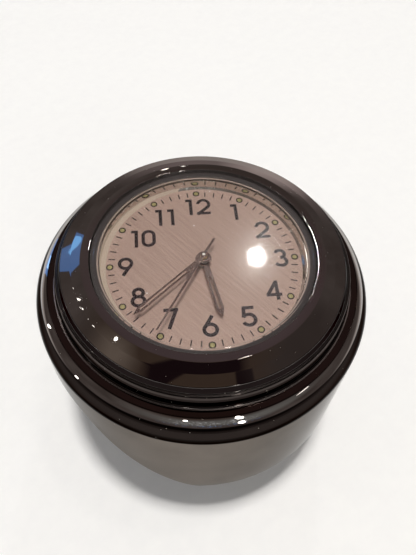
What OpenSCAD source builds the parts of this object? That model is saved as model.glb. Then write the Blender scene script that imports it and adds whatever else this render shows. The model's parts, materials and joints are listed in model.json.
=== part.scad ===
// Handlebar clock: a quartz dial insert in a heavy polished housing that
// clamps on a motorcycle handlebar.
// +Z is up along the dial axis, X runs along the handlebar, and the origin
// is the middle of the handlebar hole. All sizes are in millimetres.

/* [Handlebar clamp] */
// Diameter of the handlebar that the clamp is bored for
bar_d = 25.4; // [22:0.1:26]
// Width of the lower clamp along the handlebar
clamp_w = 22; // [16:1:30]
// Thickness of the lower clamp's band under the bar
band_t = 3.6; // [3:0.1:5]
// Thickness of the lower clamp's ears
ear_t = 4.5; // [3.5:0.5:6]
// Gap left between the housing and the ears when the screws are tight
split_gap = 0.7; // [0.3:0.1:1.5]
// Thread diameter of the two clamp screws
screw_d = 4; // [3:0.5:5]
// How far the ears drop when the screws are run out
release_travel = 7; // [3:0.5:7]

/* [Housing] */
// Gap between the bezel and the lip round it
rim_gap = 1.3; // [1:0.1:3]
// Width of the lip, from the ledge that carries the bezel to the outside
lip_w = 2.1; // [1.8:0.1:2.4]
// Radius of the rolled lip round the top of the housing
lip_r = 3.7; // [2.5:0.1:5]
// How far the skirt flares out from below the lip to its foot
skirt_flare = 0.3; // [0:0.1:3]
// How far the skirt reaches below the middle of the bar
skirt_below = 2.3; // [1.5:0.1:4]
// Metal left between the watch pocket and the handlebar
roof_t = 1.3; // [1:0.1:3]

/* [Insert] */
// Width of the plastic ring that holds the movement in the case
movement_ring_w = 1.6; // [1:0.1:4]
// How far the glass reaches out over the polished ring round the dial
glass_lap = 1.25; // [1:0.05:2]
// Wall of the case's neck, which the bezel is pressed on
neck_wall = 1.25; // [1:0.05:2]
// Step from the neck out to the case
case_step = 1.2; // [0.9:0.1:2]
// How far the bezel reaches out over the case, to rest on the ledge
bezel_over = 2.2; // [1.5:0.1:4]
// Height of the bezel's flat top above the dial
bezel_h = 2.95; // [2.9:0.05:3.4]
// Room under the train bridge, for the screw heads and the cell strap
bridge_room = 1.2; // [1:0.1:3]
// Thickness of the case back with its seat
back_t = 0.8; // [0.7:0.1:1.5]
// How far the dial is turned in the housing, clockwise from the bar
dial_turn = 30; // [0:1:360]

/* [Dial and hands] */
// Distance from the middle of an hour dot to the polished ring
dot_inset = 1.17; // [0.7:0.01:2]
// Diameter of one luminous dot
dot_d = 0.8; // [0.5:0.1:1]
// Distance from the tip of the hour hand to the polished ring
hour_inset = 4.6; // [2:0.05:6]
// Distance from the tip of the minute hand to the polished ring
minute_inset = 1.15; // [0.5:0.05:4]
// Distance from the tip of the second hand to the polished ring
second_inset = 1.05; // [0.5:0.05:4]
// Clockwise angle of the hour hand from twelve
hour_angle = 169.7; // [0:0.1:360]
// Clockwise angle of the minute hand from twelve
minute_angle = 229; // [0:0.1:360]
// Clockwise angle of the second hand from twelve
second_angle = 211.3; // [0:0.1:360]

/* [Gear train] */
// Tooth module of the centre wheel and the third pinion
train_module = 0.15; // [0.14:0.005:0.155]
// Tooth module of the second wheel and the fifth pinion
fifth_module = 0.19; // [0.188:0.001:0.195]
// Tooth module of the hour and minute wheels under the dial
dial_module = 0.18; // [0.17:0.005:0.19]
// Diameter of the button cell
cell_d = 6.8; // [5.8:0.1:6.8]
// Thickness of the button cell
cell_t = 2.6; // [2.1:0.1:2.6]

/* [Hidden] */

$fn = 96;
eps = 0.01;
run_gap = 0.05;     // running clearance of a shaft in its hole
side_gap = 0.3;     // clearance between pieces that move past each other
push_gap = 0.02;    // clearance of pieces that are pushed together

// Heights of the insert, measured from the top of the dial
dial_t = 0.4;
ledge_z = -1.4;     // ledge of the housing, where the bezel rests
glass_t = 0.9;
glass_z = bezel_h - 0.05 - glass_t;
gasket_t = 0.3;
neck_z = 0.95;      // top of the case's neck inside the bezel
plate_z = -1.7;     // top of the main plate
plate_t = 1;
bridge_z = -6;      // underside of the train bridge
bridge_t = 0.6;
plate_under = plate_z - plate_t;
bridge_top = bridge_z + bridge_t;
case_depth = bridge_room + back_t - bridge_z;

// The wheels: teeth, then places of the axles
rotor_leaves = 8;
fifth_teeth = 40;
fifth_leaves = 8;
second_teeth = 48;
second_leaves = 8;
third_teeth = 60;
third_leaves = 8;
centre_teeth = 64;
cannon_leaves = 10;
minute_teeth = 30;
minute_leaves = 8;
hour_teeth = 32;
rotor_module = 0.15;

third_arm = train_module * (centre_teeth + third_leaves) / 2;
third_module = 2 * third_arm / (third_teeth + second_leaves);
fifth_arm = fifth_module * (second_teeth + fifth_leaves) / 2;
rotor_arm = rotor_module * (fifth_teeth + rotor_leaves) / 2;
minute_arm = dial_module * (cannon_leaves + minute_teeth) / 2;

third_dir = 100;
fifth_dir = 310;
rotor_dir = 350;
minute_dir = 60;
coil_dir = -47;

function polar(r, a) = [r * cos(a), r * sin(a)];
third_at = polar(third_arm, third_dir);
fifth_at = polar(fifth_arm, fifth_dir);
rotor_at = fifth_at + polar(rotor_arm, rotor_dir);
minute_at = polar(minute_arm, minute_dir);

arbor_r = 0.2;
arbor_h = 0.4 - bridge_z + plate_under;   // from bridge to plate
tube_r = 0.45;      // pipe of the centre wheel, round the second arbor
pipe_r = 0.8;       // pipe of the hour wheel, round the centre pipe
wheel_t = 0.3;
thin_t = 0.25;
leaf_over = 0.05;   // how far a pinion reaches past the wheel that it drives
pin_r = 0.25;       // stud of the minute wheel

// Undersides of the wheels between the bridge and the plate, and of the
// two wheels under the dial
fifth_level = bridge_top + 0.35;
second_level = fifth_level + 0.63;
third_level = second_level + 0.58;
centre_level = third_level + 0.69;
minute_level = plate_z + 0.05;
hour_level = plate_z + 0.62;

// The coil and the stator, drawn along the coil's own direction
coil_half = 4;
winding_r = 0.95;
flange_r = 1.12;
tab_s = 5;
stator_z = plate_under - 1.5;
stator_t = 0.5;
stator_hole_r = 1.35;
core_t = 0.4;
core_z = stator_z - core_t;
magnet_r = 1;
magnet_h = 0.7;
rotor_s = rotor_at * polar(1, coil_dir + 90);
rotor_n = rotor_at * polar(1, coil_dir);
stator_out = rotor_n + 1.41;
stator_in = stator_out - 2.1;
coil_n = stator_out + flange_r + 0.88;
movement_r = round(10 * (coil_n + 2.4)) / 10;

// Places of the fixed parts in the movement
cell_at = polar(movement_r - cell_d / 2 - 1.9, 215);
pillars = [polar(movement_r - 2.3, 157), polar(movement_r - 2.15, 265), polar(movement_r - 1.9, 73)];
pillar_r = 0.9;
dial_feet = [for (a = [120, -60]) polar(movement_r - 2.5, a)];
dial_foot_r = 0.35;
strap_t = 0.3;
screw_pin_r = 0.45; // bridge screws
screw_cap_r = 0.85;
screw_cap_t = 0.45;
board_at = [4.9, 1.9];
board_size = [8, 8.6];
board_t = 0.5;
can_r = 1;
can_len = 5.8;
chip_s = 1.9;
chip_t = 0.7;

// The insert, outwards from the movement
cavity_r = movement_r + movement_ring_w;
glass_seat_r = cavity_r;
glass_r = glass_seat_r - 0.1;
dial_show_r = glass_r - glass_lap;
dial_r = dial_show_r + 0.35;
ring_wall = 0.55;   // wall of the polished ring between the dial and the glass
neck_bore_r = cavity_r + 0.45;
neck_r = neck_bore_r + neck_wall;
case_r = neck_r + case_step;
bezel_r = case_r + bezel_over;
groove_z = -3;
groove_h = 1.3;
ring_cord_r = 0.63;
groove_r = case_r - 0.8;
back_r = cavity_r + 0.6;
back_gasket_t = 0.25;
dot_circle_r = dial_show_r - dot_inset;
hour_len = dial_show_r - hour_inset;
minute_len = dial_show_r - minute_inset;
second_len = dial_show_r - second_inset;

// The handlebar and the housing
bar_r = bar_d / 2;
pocket_r = case_r + 0.5;
pocket_depth = case_depth + 1.2;
dial_h = bar_r + roof_t + pocket_depth;
ledge_r = bezel_r + rim_gap;
housing_r = ledge_r + lip_w;
skirt_foot_r = housing_r + skirt_flare;
lip_c = housing_r - lip_r;
lip_z = ledge_z + 0.2 - sqrt(lip_r * lip_r - pow(ledge_r - lip_c, 2));
skirt_r = 1.5;      // rounding of the skirt's lower edge
boss_r = 4.5;
screw_y = bar_r + boss_r + side_gap;
screw_grip = release_travel + 0.3;   // length of the screw inside the housing
screw_hole_d = screw_d + 2 * run_gap;
washer_t = 0.8;
washer_r = screw_d / 2 + 1.45;
head_r = screw_d * 0.875;
head_h = screw_d;
push_hole_r = 2;    // hole for pushing the insert out from below
band_r = bar_r + band_t;
foot_z = -(band_r - 0.7);
ear_top = -skirt_below - split_gap;
// The flanks leave the bar's arc with a crease this many degrees sharp
flank_crease = 6;
flank = bar_r * sqrt(0.5) * cos(flank_crease);
flank_drop = flank + skirt_below + 1;

// The setting stem and its crown, on the three o'clock side
stem_z = -4.9;
stem_r = 0.45;
stem_tube_r = 1;
crown_r = 1.45;
crown_len = 1.3;
crown_pull = 0.8;   // travel of the crown, which stays inside the pocket
crown_x = pocket_r - 0.15 - crown_pull - crown_len;
stem_in = 8.8;
yoke_x = 11;
yoke_t = 0.4;

// Heights of the hands above the dial
hour_z = 0.55;
minute_z = 1;
second_z = 1.45;
hand_t = 0.15;

// Wheel teeth have ogive tips; pinion leaves are shorter and rounder.
// Each shape is [half thickness, addendum, dedendum] in modules.
wheel_shape = [0.66, 1.05, 0.95];
leaf_shape = [0.45, 0.5, 1.5];

// Outline of one toothed wheel, with a tooth pointing along the angle turn
function tooth_rows(shape, m, n) =
    let (rp = n * m / 2, hp = shape[0] * m / rp * 180 / PI)
    concat(
        [[rp - shape[2] * m, -hp], [rp, -hp]],
        [for (t = [0.4, 0.75]) [rp + shape[1] * m * t, -hp * sqrt(1 - t * t)]],
        [[rp + shape[1] * m, -hp * 0.2], [rp + shape[1] * m, hp * 0.2]],
        [for (t = [0.75, 0.4]) [rp + shape[1] * m * t, hp * sqrt(1 - t * t)]],
        [[rp, hp], [rp - shape[2] * m, hp]]
    );

function toothed_outline(n, m, shape, turn) =
    [for (i = [0 : n - 1], row = tooth_rows(shape, m, n)) polar(row[0], turn + 360 * i / n + row[1])];

// Angle of a driven wheel so that it is in mesh with its partner, which
// stands in the direction dir from it and has a tooth at partner_turn
function mesh_turn(partner_turn, partner_n, n, dir) =
    dir + 180 + 180 / n + (dir - partner_turn) * partner_n / n;

third_turn = 0;
centre_turn = mesh_turn(third_turn, third_leaves, centre_teeth, third_dir + 180);
second_turn = mesh_turn(third_turn, third_teeth, second_leaves, third_dir + 180);
fifth_turn = mesh_turn(second_turn, second_teeth, fifth_leaves, fifth_dir);
rotor_turn = mesh_turn(fifth_turn, fifth_teeth, rotor_leaves, rotor_dir);
minute_turn = mesh_turn(centre_turn, cannon_leaves, minute_teeth, minute_dir);
hour_turn = mesh_turn(minute_turn, minute_leaves, hour_teeth, minute_dir + 180);

// Shared shapes

// Everything in the insert is drawn with the dial's centre at the origin
// and twelve o'clock along +Y, then put in the housing by this module
module in_housing() {
    translate([0, 0, dial_h]) rotate([0, 0, -dial_turn]) children();
}

module ring(r_out, r_in, z, h) {
    translate([0, 0, z]) difference() {
        cylinder(r = r_out, h = h);
        translate([0, 0, -eps]) cylinder(r = r_in, h = h + 2 * eps);
    }
}

module disc(at, r, z, h) {
    translate([at[0], at[1], z]) cylinder(r = r, h = h);
}

module toothed(n, m, shape, turn, z, h) {
    translate([0, 0, z]) linear_extrude(height = h) polygon(toothed_outline(n, m, shape, turn));
}

// A pinion that stands on its own wheel and reaches past the wheel that it
// drives, whose top is at driven_top
module pinion(n, m, turn, wheel_level, driven_top) {
    foot = wheel_level + thin_t - eps;
    toothed(n, m, leaf_shape, turn, foot, driven_top + leaf_over - foot);
}

module in_coil_frame() {
    rotate([0, 0, coil_dir + 90]) children();
}

// A flat bar in the coil's own frame, from s0 to s1 along the coil and from
// n0 to n1 away from the middle of the movement
module plate_at(s0, s1, n0, n1, z, h) {
    translate([s0, -n1, z]) cube([s1 - s0, n1 - n0, h]);
}

// Pencil-shaped hand along +Y, with an open slot and a pointed tip
module hand_outline(length, w, point, slot_w, slot_from, hub_r) {
    shoulder = length - point;
    difference() {
        union() {
            circle(r = hub_r);
            polygon([[-w * 0.4, 0], [w * 0.4, 0], [w / 2, shoulder], [0, length], [-w / 2, shoulder]]);
        }
        translate([-slot_w / 2, slot_from]) square([slot_w, shoulder - slot_from]);
    }
}

// The housing and the clamp

// Section of the handlebar channel, along X: a bar arc that opens into
// two flanks at 45 degrees
module channel_section() {
    circle(r = bar_r);
    polygon([
        [-flank, flank], [flank, flank],
        [flank + flank_drop, flank - flank_drop], [-flank - flank_drop, flank - flank_drop]
    ]);
}

module along_bar(length) {
    rotate([90, 0, 90]) translate([0, 0, -length / 2]) linear_extrude(height = length) children();
}

module housing_profile() {
    bottom = -skirt_below;
    polygon([
        [0, bottom], [skirt_foot_r - skirt_r, bottom], [skirt_foot_r, bottom + skirt_r],
        [housing_r, dial_h + lip_z], [lip_c, dial_h + lip_z + lip_r], [0, dial_h + lip_z + lip_r]
    ]);
    translate([skirt_foot_r - skirt_r, bottom + skirt_r]) circle(r = skirt_r);
    translate([lip_c, dial_h + lip_z]) circle(r = lip_r);
}

module housing() {
    color("silver") difference() {
        union() {
            difference() {
                rotate_extrude() intersection() {
                    housing_profile();
                    translate([0, -skirt_below]) square([skirt_foot_r + 1, dial_h + skirt_below]);
                }
                along_bar(2 * skirt_foot_r + 2) channel_section();
            }
            for (side = [-1, 1])
                translate([0, side * screw_y, -skirt_below]) cylinder(r = boss_r, h = skirt_below + flank);
        }
        // The ledge for the bezel and the watch pocket
        translate([0, 0, dial_h + ledge_z]) cylinder(r = ledge_r, h = 3);
        translate([0, 0, dial_h - pocket_depth]) cylinder(r = pocket_r, h = pocket_depth);
        translate([0, 0, bar_r - 1]) cylinder(r = push_hole_r, h = roof_t + 2);
        for (side = [-1, 1])
            translate([0, side * screw_y, -skirt_below - eps])
                cylinder(d = screw_hole_d, h = screw_grip + 1.2);
    }
}

module clamp_lower() {
    ear_r = screw_y + boss_r;
    color("silver") difference() {
        union() {
            intersection() {
                along_bar(clamp_w) circle(r = band_r);
                translate([-clamp_w, -band_r, foot_z]) cube([2 * clamp_w, 2 * band_r, ear_top - foot_z]);
            }
            intersection() {
                translate([-clamp_w / 2, -ear_r, ear_top - ear_t]) cube([clamp_w, 2 * ear_r, ear_t]);
                cylinder(r = ear_r, h = 4 * ear_t, center = true);
            }
        }
        along_bar(clamp_w + 2) circle(r = bar_r);
        for (side = [-1, 1]) translate([0, side * screw_y, 0]) {
            translate([0, 0, ear_top - ear_t - 1]) cylinder(r = screw_d / 2 + 0.2, h = ear_t + 2);
            // Spot face for the washer and the head
            translate([0, 0, -2 * band_r]) cylinder(r = head_r + side_gap, h = 2 * band_r + ear_top - ear_t);
        }
    }
}

module clamp_washers() {
    color("dimgray") for (side = [-1, 1])
        translate([0, side * screw_y, 0]) difference() {
            ring(washer_r, screw_d / 2 + 0.15, ear_top - ear_t - washer_t, washer_t);
            // The split of a spring washer
            rotate([0, 0, side * 90]) translate([0, -0.3, ear_top - ear_t - washer_t - 1])
                cube([washer_r + 1, 0.6, washer_t + 2]);
        }
}

module clamp_screw(side) {
    head_top = ear_top - ear_t - washer_t;
    socket_r = screw_d * 0.75 / 2 / cos(30);
    color("gray") translate([0, side * screw_y, 0]) difference() {
        union() {
            translate([0, 0, head_top - eps])
                cylinder(d = screw_d, h = screw_grip - skirt_below - head_top + eps);
            translate([0, 0, head_top - head_h]) cylinder(r = head_r, h = head_h);
        }
        translate([0, 0, head_top - head_h - eps]) cylinder(r = socket_r, h = head_h * 0.55, $fn = 6);
    }
}

module clamp_screw_left() { clamp_screw(1); }
module clamp_screw_right() { clamp_screw(-1); }

// The insert's shell

module bezel() {
    slope_r = bezel_r - 1.1;
    slope_z = bezel_h - 0.95;
    flat_r = glass_seat_r + 1.15;
    shelf_r = glass_r - 0.6;
    color("silver") in_housing() rotate_extrude() {
        polygon([
            [glass_seat_r, bezel_h], [flat_r, bezel_h], [slope_r, slope_z], [slope_r + 0.12, slope_z - 0.22],
            [slope_r + 0.55, slope_z - 0.55], [bezel_r - 0.25, slope_z - 0.95], [bezel_r, slope_z - 1.5],
            [bezel_r, ledge_z + 0.25], [bezel_r - 0.2, ledge_z], [neck_r + push_gap, ledge_z],
            [neck_r + push_gap, neck_z], [shelf_r, neck_z], [shelf_r, glass_z - gasket_t], [glass_seat_r, glass_z - gasket_t]
        ]);
    }
}

module crystal() {
    bevel = 0.45;
    color([0.85, 0.9, 0.92, 0.35]) in_housing() rotate_extrude() {
        polygon([
            [0, glass_z], [glass_r, glass_z], [glass_r, glass_z + glass_t - bevel],
            [glass_r - 1.3 * bevel, glass_z + glass_t], [0, glass_z + glass_t]
        ]);
    }
}

module crystal_gasket() {
    color("gray") in_housing() ring(glass_r, dial_show_r + 0.05, glass_z - gasket_t, gasket_t);
}

module insert_case() {
    color("silver") in_housing() difference() {
        rotate_extrude() polygon([
            [cavity_r, 0], [neck_bore_r, 0], [neck_bore_r, neck_z], [neck_r, neck_z], [neck_r, ledge_z],
            [case_r, ledge_z], [case_r, groove_z + groove_h], [groove_r, groove_z + groove_h],
            [groove_r, groove_z], [case_r, groove_z], [case_r, -case_depth + 0.3], [case_r - 0.3, -case_depth],
            [back_r, -case_depth], [back_r, -case_depth + back_t], [cavity_r, -case_depth + back_t]
        ]);
        // Recess for the crown and hole for the stem tube
        translate([crown_x - 0.1, 0, stem_z]) rotate([0, 90, 0])
            cylinder(r = crown_r + 0.1, h = case_r - crown_x + 1);
        translate([cavity_r - 1, 0, stem_z]) rotate([0, 90, 0])
            cylinder(r = stem_tube_r, h = crown_x - cavity_r + 1);
    }
}

module o_ring() {
    color("black") in_housing() rotate_extrude()
        translate([groove_r + ring_cord_r, groove_z + groove_h / 2]) circle(r = ring_cord_r, $fn = 48);
}

module case_back() {
    color("lightgray") in_housing() difference() {
        translate([0, 0, -case_depth]) cylinder(r = back_r - push_gap, h = back_t - back_gasket_t);
        // Notch for lifting the back off with a blade
        translate([-1.5, -back_r - 1, -case_depth - 1]) cube([3, 1.6, 1.3]);
    }
}

module case_back_gasket() {
    color("darkslategray") in_housing()
        ring(back_r - push_gap, cavity_r - 0.4, -case_depth + back_t - back_gasket_t, back_gasket_t);
}

module dial_ring() {
    color("silver") in_housing() rotate_extrude() polygon([
        [dial_show_r, 0], [neck_bore_r - 0.05, 0], [neck_bore_r - 0.05, neck_z - 0.05],
        [dial_show_r + ring_wall, neck_z - 0.05], [dial_show_r + ring_wall, glass_z - gasket_t],
        [dial_show_r, glass_z - gasket_t]
    ]);
}

// The dial and the hands

module dial() {
    color("antiquewhite") in_housing() {
        difference() {
            translate([0, 0, -dial_t]) cylinder(r = dial_r, h = dial_t);
            translate([0, 0, -1]) cylinder(r = pipe_r + 0.1, h = 2);
        }
        for (foot = dial_feet) disc(foot, dial_foot_r, plate_z - 0.6, -plate_z + 0.6 - dial_t + eps);
    }
}

module lume_dots() {
    color("khaki") in_housing() for (hour = [0 : 11])
        disc(polar(dot_circle_r, 30 * hour), dot_d / 2, 0, 0.08);
}

module hour_hand() {
    color("gainsboro") in_housing() rotate([0, 0, -hour_angle]) difference() {
        union() {
            translate([0, 0, hour_z]) linear_extrude(height = hand_t)
                hand_outline(hour_len, 1.05, 1.25, 0.36, 3.2, 1.15);
            translate([0, 0, hour_z - 0.25]) cylinder(r = 1.02, h = 0.3);
        }
        translate([0, 0, hour_z - 1]) cylinder(r = pipe_r, h = 2);
    }
}

module minute_hand() {
    color("gainsboro") in_housing() rotate([0, 0, -minute_angle]) difference() {
        union() {
            translate([0, 0, minute_z]) linear_extrude(height = hand_t)
                hand_outline(minute_len, 0.82, 1.2, 0.28, 3.4, 0.9);
            translate([0, 0, minute_z - 0.2]) cylinder(r = 0.75, h = 0.25);
        }
        translate([0, 0, minute_z - 1]) cylinder(r = tube_r, h = 2);
    }
}

module second_hand() {
    tail = 3.3;
    color("gainsboro") in_housing() rotate([0, 0, -second_angle]) difference() {
        union() {
            translate([0, 0, second_z]) linear_extrude(height = 0.12) polygon([
                [-0.1, -tail], [0.1, -tail], [0.2, 0], [0.07, second_len], [-0.07, second_len], [-0.2, 0]
            ]);
            translate([0, 0, second_z - 0.15]) cylinder(r = 0.42, h = 0.42);
        }
        translate([0, 0, second_z - 1]) cylinder(r = arbor_r, h = 1.3);
    }
}

// The movement's frame

module movement_ring() {
    color("whitesmoke") in_housing() difference() {
        ring(cavity_r, movement_r + 0.05, -case_depth + back_t, case_depth - back_t - dial_t);
        translate([movement_r - 1, 0, stem_z]) rotate([0, 90, 0])
            cylinder(r = 0.7, h = cavity_r - movement_r + 2);
        // Notch for lifting the ring out
        translate([-cell_d, -cavity_r - 0.4, -case_depth]) cube([3, 1.2, 2]);
    }
}

module main_plate() {
    color("goldenrod") in_housing() difference() {
        union() {
            translate([0, 0, plate_under]) cylinder(r = movement_r, h = plate_t);
            // Stud for the minute wheel and pillars for the bridge
            disc(minute_at, pin_r, plate_z - eps, 0.9);
            for (p = pillars) disc(p, pillar_r, bridge_top, plate_under - bridge_top + eps);
        }
        translate([0, 0, plate_under - 1]) cylinder(r = tube_r + run_gap, h = plate_t + 2);
        for (axle = [third_at, fifth_at, rotor_at]) disc(axle, arbor_r + run_gap, plate_under - 1, 1.6);
        for (p = pillars) disc(p, 0.5, bridge_top - 1, 3.1);
        for (foot = dial_feet) disc(foot, dial_foot_r + run_gap, plate_z - 0.7, 2);
        // Recess that guides the top of the cell
        disc(cell_at, cell_d / 2 + 0.1, plate_under - 1, 1.2);
    }
}

module train_bridge() {
    color("gold") in_housing() difference() {
        translate([0, 0, bridge_z]) cylinder(r = movement_r - 0.9, h = bridge_t);
        for (axle = [[0, 0], third_at, fifth_at, rotor_at]) disc(axle, arbor_r + run_gap, bridge_z - 1, 3);
        for (p = pillars) disc(p, 0.55, bridge_z - 1, 3);
        disc(cell_at, cell_d / 2 + 0.2, bridge_z - 1, 3);
        in_coil_frame() plate_at(-tab_s - 0.8, tab_s + 0.8, coil_n - 1.7, movement_r + 2, bridge_z - 1, 3);
        // Open sector over the board and the stem
        translate([board_at[0] + 0.1, -1.6, bridge_z - 1]) cube([movement_r, movement_r, 3]);
    }
}

module bridge_screws() {
    // The second screw also holds the cell strap
    color("silver") in_housing() for (i = [0 : 2]) {
        under = i == 1 ? bridge_z - strap_t : bridge_z;
        difference() {
            union() {
                disc(pillars[i], screw_pin_r, under - eps, 2.4);
                disc(pillars[i], screw_cap_r, under - screw_cap_t, screw_cap_t);
            }
            translate([pillars[i][0] - 1, pillars[i][1] - 0.12, under - screw_cap_t - 1]) cube([2, 0.24, 1.2]);
        }
    }
}

// The wheels, from the rotor to the hands

module rotor() {
    color("dimgray") in_housing() translate([rotor_at[0], rotor_at[1], 0]) {
        translate([0, 0, bridge_z + 0.05]) cylinder(r = arbor_r, h = arbor_h);
        translate([0, 0, stator_z - 0.1]) cylinder(r = magnet_r, h = magnet_h);
        toothed(rotor_leaves, rotor_module, leaf_shape, rotor_turn, fifth_level - 0.1, 0.5);
    }
}

module fifth_wheel() {
    color("white") in_housing() translate([fifth_at[0], fifth_at[1], 0]) {
        translate([0, 0, bridge_z + 0.05]) cylinder(r = arbor_r, h = arbor_h);
        toothed(fifth_teeth, rotor_module, wheel_shape, fifth_turn, fifth_level, thin_t);
        pinion(fifth_leaves, fifth_module, fifth_turn, fifth_level, second_level + thin_t);
    }
}

module second_wheel() {
    color("white") in_housing() {
        translate([0, 0, bridge_z + 0.05]) cylinder(r = arbor_r, h = second_z + 0.25 - bridge_z);
        toothed(second_teeth, fifth_module, wheel_shape, second_turn, second_level, thin_t);
        pinion(second_leaves, third_module, second_turn, second_level, third_level + wheel_t);
    }
}

module third_wheel() {
    color("gold") in_housing() translate([third_at[0], third_at[1], 0]) {
        translate([0, 0, bridge_z + 0.05]) cylinder(r = arbor_r, h = arbor_h);
        toothed(third_teeth, third_module, wheel_shape, third_turn, third_level, wheel_t);
        pinion(third_leaves, train_module, third_turn, third_level, centre_level + wheel_t);
    }
}

module centre_wheel() {
    color("gold") in_housing() difference() {
        union() {
            toothed(centre_teeth, train_module, wheel_shape, centre_turn, centre_level, wheel_t);
            translate([0, 0, centre_level - 0.15])
                cylinder(r = tube_r, h = minute_z + hand_t + 0.2 - centre_level);
            toothed(cannon_leaves, dial_module, leaf_shape, centre_turn, plate_z + 0.03, 0.52);
        }
        translate([0, 0, -4]) cylinder(r = arbor_r + run_gap, h = 6);
    }
}

module minute_wheel() {
    color("white") in_housing() translate([minute_at[0], minute_at[1], 0]) difference() {
        union() {
            toothed(minute_teeth, dial_module, wheel_shape, minute_turn, minute_level, thin_t);
            pinion(minute_leaves, dial_module, minute_turn, minute_level, hour_level + thin_t - 0.03);
        }
        translate([0, 0, plate_z - 1]) cylinder(r = pin_r + run_gap, h = 3);
    }
}

module hour_wheel() {
    color("white") in_housing() difference() {
        union() {
            toothed(hour_teeth, dial_module, wheel_shape, hour_turn, hour_level, thin_t);
            translate([0, 0, hour_level]) cylinder(r = pipe_r, h = hour_z + hand_t + 0.05 - hour_level);
        }
        translate([0, 0, plate_z]) cylinder(r = tube_r + run_gap, h = 4);
    }
}

// The electric parts

module stator() {
    color("lightsteelblue") in_housing() difference() {
        in_coil_frame() {
            plate_at(-tab_s - 0.6, tab_s + 0.6, stator_in, stator_out, stator_z, stator_t);
            for (side = [-1, 1])
                plate_at(side * tab_s - 0.6, side * tab_s + 0.6, stator_in, coil_n + 0.7, stator_z, stator_t);
            translate([rotor_s, -rotor_n, stator_z]) cylinder(r = 2, h = stator_t);
        }
        disc(rotor_at, stator_hole_r, stator_z - 1, 3);
        in_coil_frame() for (side = [-1, 1])
            translate([side * tab_s, -coil_n, stator_z - 1]) cylinder(r = 0.47, h = 3);
    }
}

module coil_core() {
    color("lightsteelblue") in_housing() in_coil_frame() {
        plate_at(-tab_s - 0.6, tab_s + 0.6, coil_n - 0.5, coil_n + 0.5, core_z, core_t);
        for (side = [-1, 1])
            translate([side * tab_s, -coil_n, core_z]) cylinder(r = 0.45, h = plate_under - core_z);
    }
}

module coil_winding() {
    mid_z = core_z + core_t / 2;
    color("peru") in_housing() in_coil_frame() difference() {
        translate([-coil_half, -coil_n, mid_z]) rotate([0, 90, 0]) {
            cylinder(r = winding_r, h = 2 * coil_half);
            for (x = [0, 2 * coil_half - 0.25]) translate([0, 0, x]) cylinder(r = flange_r, h = 0.25);
        }
        plate_at(-tab_s, tab_s, coil_n - 0.5, coil_n + 0.5, core_z, core_t);
    }
}

module battery_cell() {
    top_z = plate_under + 0.2;
    color("silver") in_housing() {
        disc(cell_at, cell_d / 2, top_z - cell_t, cell_t - 0.4);
        disc(cell_at, cell_d / 2 - 0.7, top_z - 0.41, 0.41);
    }
}

module battery_strap() {
    cell_bottom = plate_under + 0.2 - cell_t;
    reach = pillars[1] - cell_at;
    dir = atan2(reach[1], reach[0]);
    color("silver") in_housing() difference() {
        translate([cell_at[0], cell_at[1], bridge_z - strap_t]) rotate([0, 0, dir]) {
            translate([-3, -0.8, 0]) cube([norm(reach) + 3.8, 1.6, strap_t]);
            cylinder(r = 0.8, h = cell_bottom - bridge_z + strap_t);
        }
        disc(pillars[1], screw_pin_r + run_gap, bridge_z - 1, 2);
    }
}

module circuit_board() {
    color("darkgreen") in_housing() intersection() {
        translate([board_at[0], board_at[1], plate_under - board_t])
            cube([board_size[0], board_size[1], board_t]);
        translate([0, 0, plate_under - 1]) cylinder(r = movement_r - 0.8, h = 2);
    }
}

module quartz_can() {
    color("silver") in_housing()
        translate([board_at[0] + 3.7, board_at[1] + 3.7, plate_under - board_t - can_r]) rotate([0, 0, 120])
            rotate([0, 90, 0]) translate([0, 0, -can_len / 2]) {
                cylinder(r = can_r, h = can_len);
                cylinder(r = 0.6 * can_r, h = can_len + 0.3);
            }
}

module driver_chip() {
    color("black") in_housing()
        translate([board_at[0] + 0.4, board_at[1] + 0.8, plate_under - board_t - chip_t])
            cube([chip_s, chip_s, chip_t]);
}

// The hand setting

module stem_tube() {
    color("goldenrod") in_housing() translate([cavity_r + push_gap, 0, stem_z]) rotate([0, 90, 0])
        difference() {
            cylinder(r = stem_tube_r, h = crown_x - 0.1 - cavity_r - 2 * push_gap);
            translate([0, 0, -1]) cylinder(r = stem_r + run_gap, h = 4);
        }
}

module setting_stem() {
    color("silver") in_housing() translate([0, 0, stem_z]) rotate([0, 90, 0]) difference() {
        union() {
            translate([0, 0, stem_in]) cylinder(r = stem_r, h = crown_x + 0.8 - stem_in);
            translate([0, 0, stem_in]) linear_extrude(height = 0.9)
                polygon(toothed_outline(8, 0.12, leaf_shape, 0));
        }
        // Neck that the yoke holds
        translate([0, 0, yoke_x]) difference() {
            cylinder(r = 1, h = yoke_t + 0.1);
            translate([0, 0, -1]) cylinder(r = 0.27, h = 3);
        }
    }
}

module setting_yoke() {
    color("gold") in_housing() difference() {
        union() {
            translate([yoke_x + 0.05, -1, stem_z - 0.45]) cube([yoke_t, 2.2, 1.6]);
            translate([yoke_x - 1.4, 0.8, stem_z - 0.45]) cube([3, 0.4, 1.6]);
        }
        translate([yoke_x - 1, -0.32, stem_z - 1]) cube([3, 0.64, 1.35]);
    }
}

module crown() {
    flutes = 18;
    color("silver") in_housing() translate([crown_x, 0, stem_z]) rotate([0, 90, 0]) difference() {
        cylinder(r = crown_r, h = crown_len);
        for (i = [0 : flutes - 1]) rotate([0, 0, 360 * i / flutes])
            translate([crown_r + 0.05, 0, -1]) cylinder(r = 0.13, h = crown_len + 2, $fn = 16);
        translate([0, 0, -eps]) cylinder(r = stem_r, h = 0.81);
    }
}

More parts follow.
